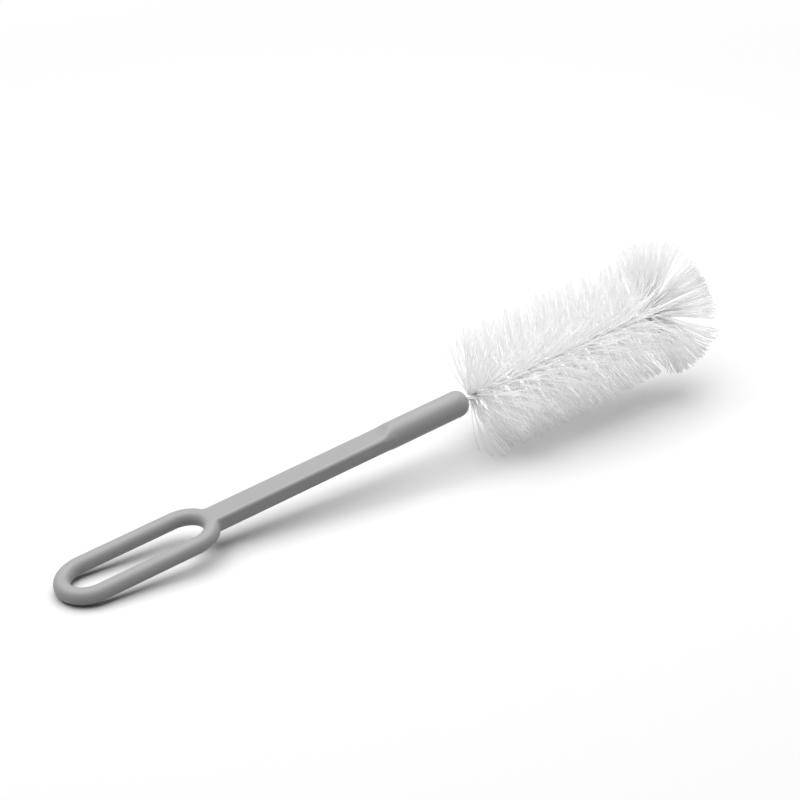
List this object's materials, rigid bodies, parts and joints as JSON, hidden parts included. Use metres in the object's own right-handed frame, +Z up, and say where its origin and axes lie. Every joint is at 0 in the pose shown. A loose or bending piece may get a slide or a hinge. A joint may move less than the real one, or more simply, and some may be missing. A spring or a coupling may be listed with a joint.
{
  "type": "bottle brush",
  "caption": "Bottle brush lying at rest: moulded handle with a long hanging ring and flat-sided shaft, twisted wire stem, round head of white bristles with a splayed tip tuft.",
  "frame": {"origin": "on the table, under the middle of the brush as it lies at rest", "axes": "+X from the ring towards the brush's tip along the table, +Z up"},
  "size_m": [0.3181, 0.0562, 0.0691],
  "materials": {
    "handle_plastic": "grey moulded plastic, fine satin texture",
    "steel_wire": "bright drawn steel wire",
    "bristle_nylon": "white slightly translucent nylon filament"
  },
  "bodies": {
    "root": {"handle": "handle_plastic", "core_wire": "steel_wire", "bristles": "bristle_nylon"}
  },
  "joints": []
}
